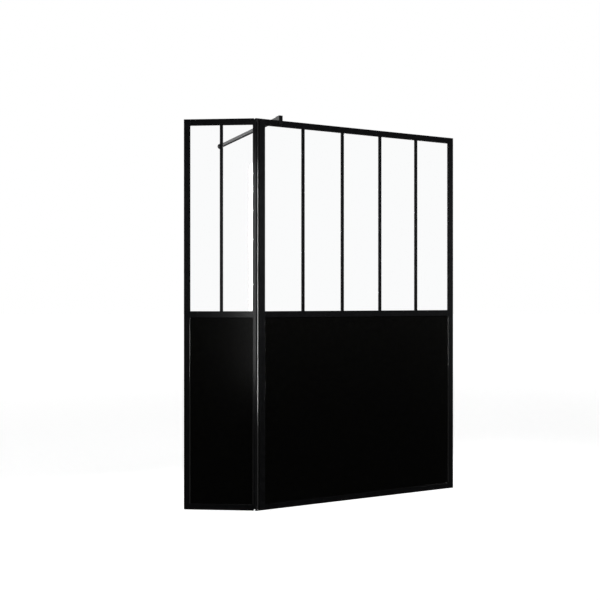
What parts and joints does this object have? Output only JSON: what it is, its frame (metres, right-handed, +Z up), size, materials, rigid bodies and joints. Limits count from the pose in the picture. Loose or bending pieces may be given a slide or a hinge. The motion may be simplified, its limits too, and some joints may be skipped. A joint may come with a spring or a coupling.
{
  "type": "walk-in shower screen",
  "caption": "Black-framed walk-in shower screen: glazed above, solid below, with a pivoting deflector panel at its free end and a stabiliser bar to the far wall.",
  "frame": {"origin": "on the flat back of the wall channel, where the screen meets its wall, in the middle of the frame's depth and at floor level", "axes": "+X points into the wall, so the front panel runs along -X; -Y is the room side and +Y the shower side; +Z is up"},
  "size_m": [1.5424, 0.905, 2.031],
  "materials": {
    "black_frame": "satin",
    "black_tube": "satin",
    "black_zinc": "satin",
    "black_plastic": "matte",
    "plain_channel": "satin",
    "steel_screw": "satin",
    "clear_glass": "gloss",
    "black_panel": "satin",
    "rubber": "matte",
    "nylon": "matte"
  },
  "bodies": {
    "front_screen": {"wall_channel": "plain_channel", "wall_stile": "black_frame", "wall_stile_cap": "black_plastic", "stile_screws": "steel_screw", "post": "black_frame", "post_seal": "rubber", "top_pivot": "black_zinc", "bottom_pivot": "black_zinc", "clamp_body": "black_zinc", "clamp_pad": "rubber", "clamp_screw": "steel_screw", "stabiliser_bar": "black_tube", "wall_flange": "black_zinc", "flange_grub_screw": "steel_screw", "front_top_rail": "black_frame", "front_mid_rail": "black_frame", "front_bottom_rail": "black_frame", "front_glass": "clear_glass", "front_glass_gasket": "rubber", "front_lower_panel": "black_panel", "front_panel_gasket": "rubber", "front_bar_1_outer": "black_frame", "front_bar_1_inner": "black_frame", "front_bar_2_outer": "black_frame", "front_bar_2_inner": "black_frame", "front_bar_3_outer": "black_frame", "front_bar_3_inner": "black_frame", "front_bar_4_outer": "black_frame", "front_bar_4_inner": "black_frame"},
    "deflector": {"hinge_stile": "black_frame", "hinge_stile_cap": "black_plastic", "free_stile": "black_frame", "free_stile_caps": "black_plastic", "top_bush": "nylon", "bottom_bush": "nylon", "floor_sweep": "rubber", "deflector_top_rail": "black_frame", "deflector_mid_rail": "black_frame", "deflector_bottom_rail": "black_frame", "deflector_glass": "clear_glass", "deflector_glass_gasket": "rubber", "deflector_lower_panel": "black_panel", "deflector_panel_gasket": "rubber", "deflector_bar_1_outer": "black_frame", "deflector_bar_1_inner": "black_frame"}
  },
  "joints": [
    {"name": "deflector_pivot", "type": "hinge", "parent": "front_screen", "child": "deflector", "pos_m": [-1.214, 0, 0], "axis": [0, 0, 1], "range_deg": [-60, 120]}
  ]
}
